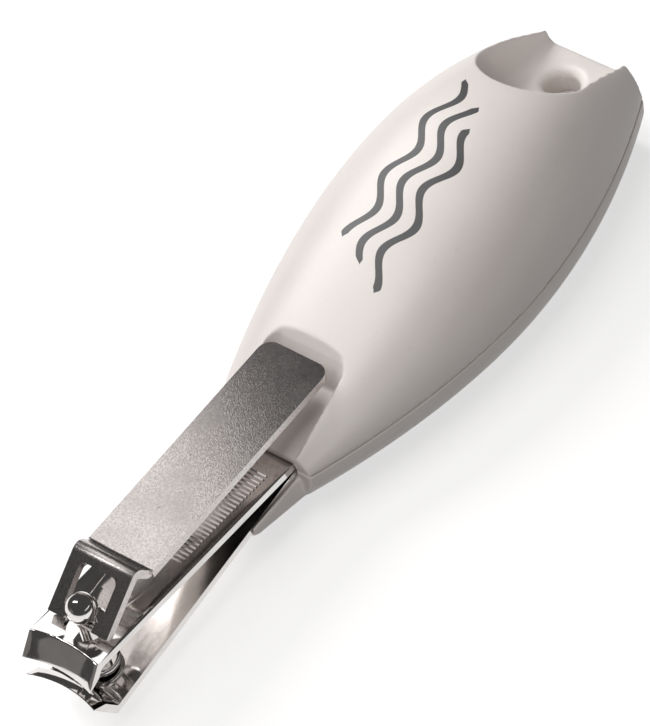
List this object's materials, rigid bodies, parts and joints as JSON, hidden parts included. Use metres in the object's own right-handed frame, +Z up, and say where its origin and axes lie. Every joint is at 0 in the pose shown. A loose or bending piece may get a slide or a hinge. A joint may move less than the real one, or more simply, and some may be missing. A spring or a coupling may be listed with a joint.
{
  "type": "baby nail clipper",
  "caption": "Small lever nail clipper with hollow-ground jaws, a folded lever stowed in a pocket, and a rounded moulded handle with a lanyard hole.",
  "frame": {"origin": "on the surface the clipper lies on, below the middle of its length and width", "axes": "+X along the clipper towards the cutting edges, +Z up, away from the surface, +Y across"},
  "size_m": [0.0976, 0.0276, 0.0224],
  "materials": {
    "handle_plastic": "satin moulded, warm white",
    "jaw_chrome": "polished chrome plate",
    "lever_satin": "satin, finely speckled plate",
    "fastener_steel": "bright zinc plate"
  },
  "bodies": {
    "handle": {"handle_top_shell": "handle_plastic", "handle_bottom_shell": "handle_plastic", "rear_rivet": "fastener_steel", "housing_screw": "fastener_steel"},
    "upper_jaw": {"upper_jaw": "jaw_chrome"},
    "lower_jaw": {"lower_jaw": "jaw_chrome"},
    "post": {"pivot_post": "jaw_chrome"},
    "lever": {"lever": "lever_satin"}
  },
  "joints": [
    {"name": "lower_jaw_close", "type": "hinge", "parent": "handle", "child": "lower_jaw", "pos_m": [0.01241, 0, 0.00786], "axis": [0, -1, 0], "range_deg": [0, 2.1], "stiffness_Nm_per_rad": 6},
    {"name": "upper_jaw_close", "type": "hinge", "parent": "handle", "child": "upper_jaw", "pos_m": [0.01241, 0, 0.00786], "axis": [0, 1, 0], "range_deg": [0, 2.1], "stiffness_Nm_per_rad": 6},
    {"name": "post_swivel", "type": "hinge", "parent": "lower_jaw", "child": "post", "pos_m": [0.04246, 0, 0.00786], "axis": [0, 0, 1], "range_deg": [0, 181]},
    {"name": "lever_swing", "type": "hinge", "parent": "post", "child": "lever", "pos_m": [0.04311, 0, 0.01244], "axis": [0, 1, 0], "range_deg": [0, 135]}
  ],
  "couplings": [
    {"joint": "upper_jaw_close", "follows": "lower_jaw_close", "ratio": 1},
    {"joint": "post_swivel", "follows": "lever_swing", "ratio": 1.3333}
  ]
}
